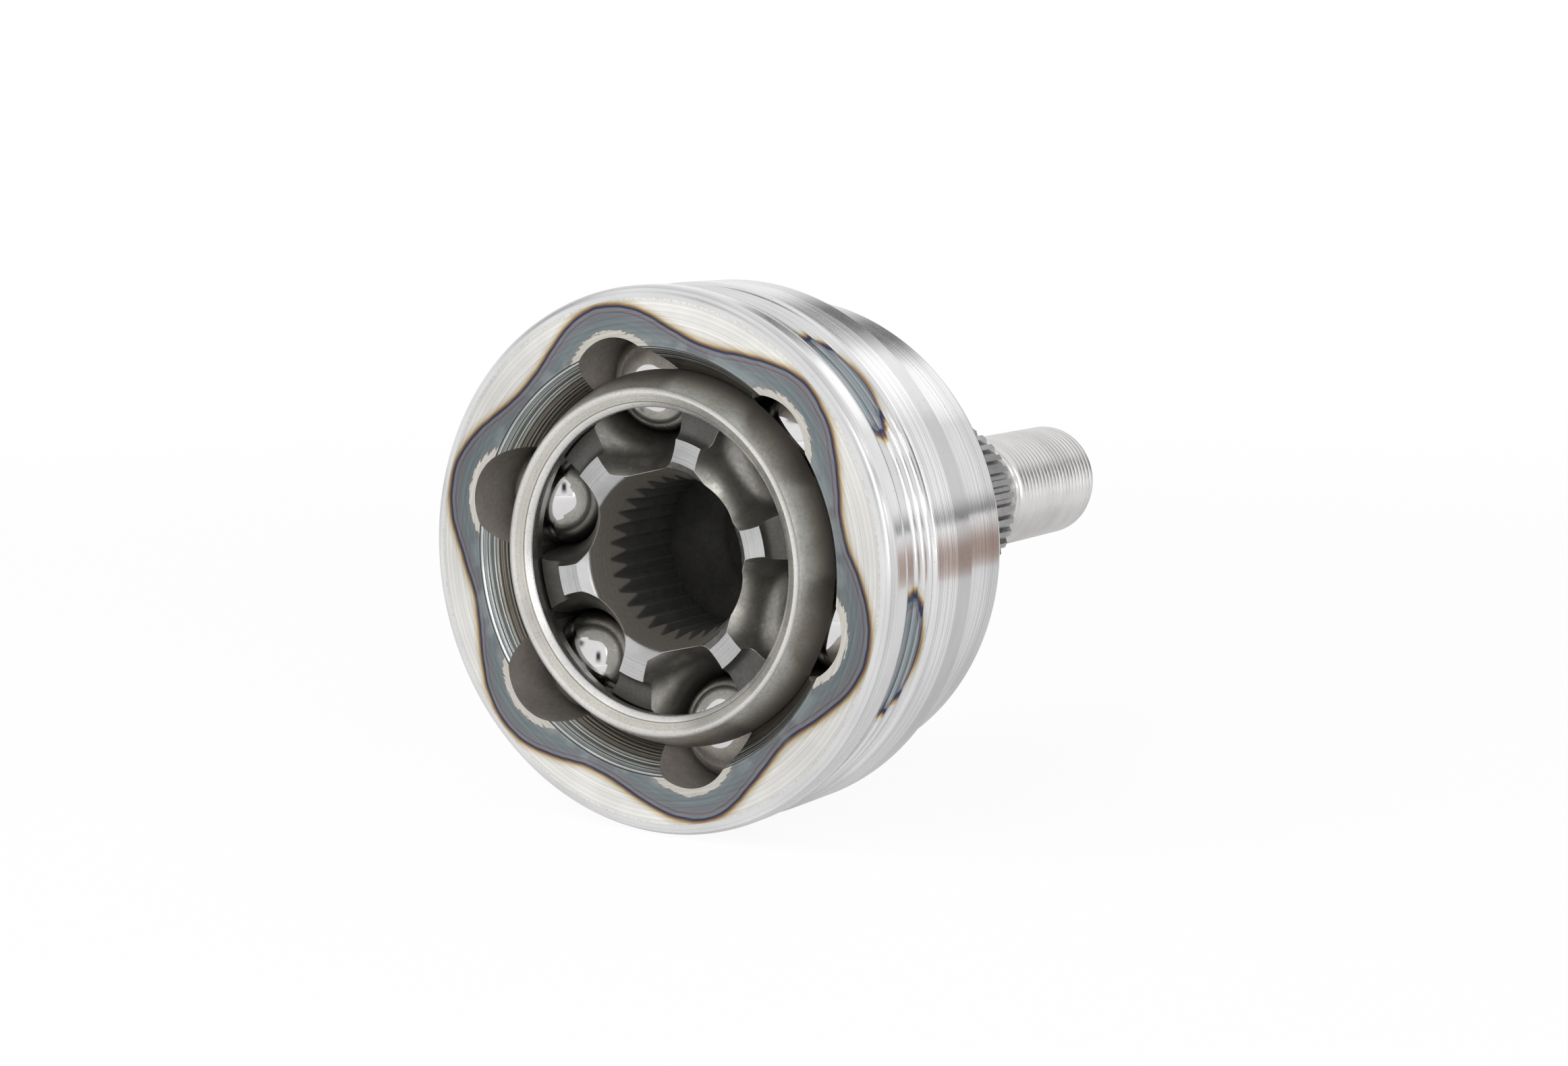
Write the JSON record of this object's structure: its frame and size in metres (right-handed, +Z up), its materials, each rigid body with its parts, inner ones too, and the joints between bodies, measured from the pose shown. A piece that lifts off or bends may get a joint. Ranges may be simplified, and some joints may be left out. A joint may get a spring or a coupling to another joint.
{
  "type": "cv joint",
  "caption": "Outboard fixed ball constant-velocity joint: bell with splined and threaded stub axle, ball cage, splined inner race and steel balls.",
  "frame": {"origin": "joint centre, where the shaft line, the ball plane and the centres of the races' spheres meet", "axes": "+Y along the stub axle towards its threaded end, the bell's mouth faces -Y, +Z up"},
  "size_m": [0.0904, 0.1444, 0.0904],
  "materials": {
    "race_steel": "turned, with heat tint round the hardened tracks",
    "cage_steel": "ground sphere, turned front ring",
    "inner_race_steel": "hardened satin, turned hub",
    "ball_steel": "polished"
  },
  "bodies": {
    "outer_race": {"outer_race": "race_steel"},
    "cage": {"cage": "cage_steel"},
    "inner_race": {"inner_race": "inner_race_steel"},
    "ball_1": {"ball_1": "ball_steel"},
    "ball_2": {"ball_2": "ball_steel"},
    "ball_3": {"ball_3": "ball_steel"},
    "ball_4": {"ball_4": "ball_steel"},
    "ball_5": {"ball_5": "ball_steel"},
    "ball_6": {"ball_6": "ball_steel"}
  },
  "joints": [
    {"name": "race_tilt", "type": "hinge", "parent": "outer_race", "child": "inner_race", "pos_m": [0, 0, 0], "axis": [0, 0, 1], "range_deg": [-45, 45]},
    {"name": "cage_tilt", "type": "hinge", "parent": "outer_race", "child": "cage", "pos_m": [0, 0, 0], "axis": [0, 0, 1], "range_deg": [-22.5, 22.5]},
    {"name": "ball_1_travel", "type": "hinge", "parent": "outer_race", "child": "ball_1", "pos_m": [0, -0.0046, 0], "axis": [-0.6884, 0, 0.7254], "range_deg": [-16.8, 16.8]},
    {"name": "ball_2_travel", "type": "hinge", "parent": "outer_race", "child": "ball_2", "pos_m": [0, -0.0046, 0], "axis": [-0.9724, 0, -0.2334], "range_deg": [-5.5, 5.5]},
    {"name": "ball_3_travel", "type": "hinge", "parent": "outer_race", "child": "ball_3", "pos_m": [0, -0.0046, 0], "axis": [-0.284, 0, -0.9588], "range_deg": [-21.7, 21.7]},
    {"name": "ball_4_travel", "type": "hinge", "parent": "outer_race", "child": "ball_4", "pos_m": [0, -0.0046, 0], "axis": [0.6884, 0, -0.7254], "range_deg": [-16.8, 16.8]},
    {"name": "ball_5_travel", "type": "hinge", "parent": "outer_race", "child": "ball_5", "pos_m": [0, -0.0046, 0], "axis": [0.9724, 0, 0.2334], "range_deg": [-5.5, 5.5]},
    {"name": "ball_6_travel", "type": "hinge", "parent": "outer_race", "child": "ball_6", "pos_m": [0, -0.0046, 0], "axis": [0.284, 0, 0.9588], "range_deg": [-21.7, 21.7]}
  ],
  "couplings": [
    {"joint": "cage_tilt", "follows": "race_tilt", "ratio": 0.5},
    {"joint": "ball_1_travel", "follows": "race_tilt", "ratio": 0.37163},
    {"joint": "ball_2_travel", "follows": "race_tilt", "ratio": -0.12164},
    {"joint": "ball_3_travel", "follows": "race_tilt", "ratio": -0.48135},
    {"joint": "ball_4_travel", "follows": "race_tilt", "ratio": -0.37163},
    {"joint": "ball_5_travel", "follows": "race_tilt", "ratio": 0.12164},
    {"joint": "ball_6_travel", "follows": "race_tilt", "ratio": 0.48135}
  ]
}
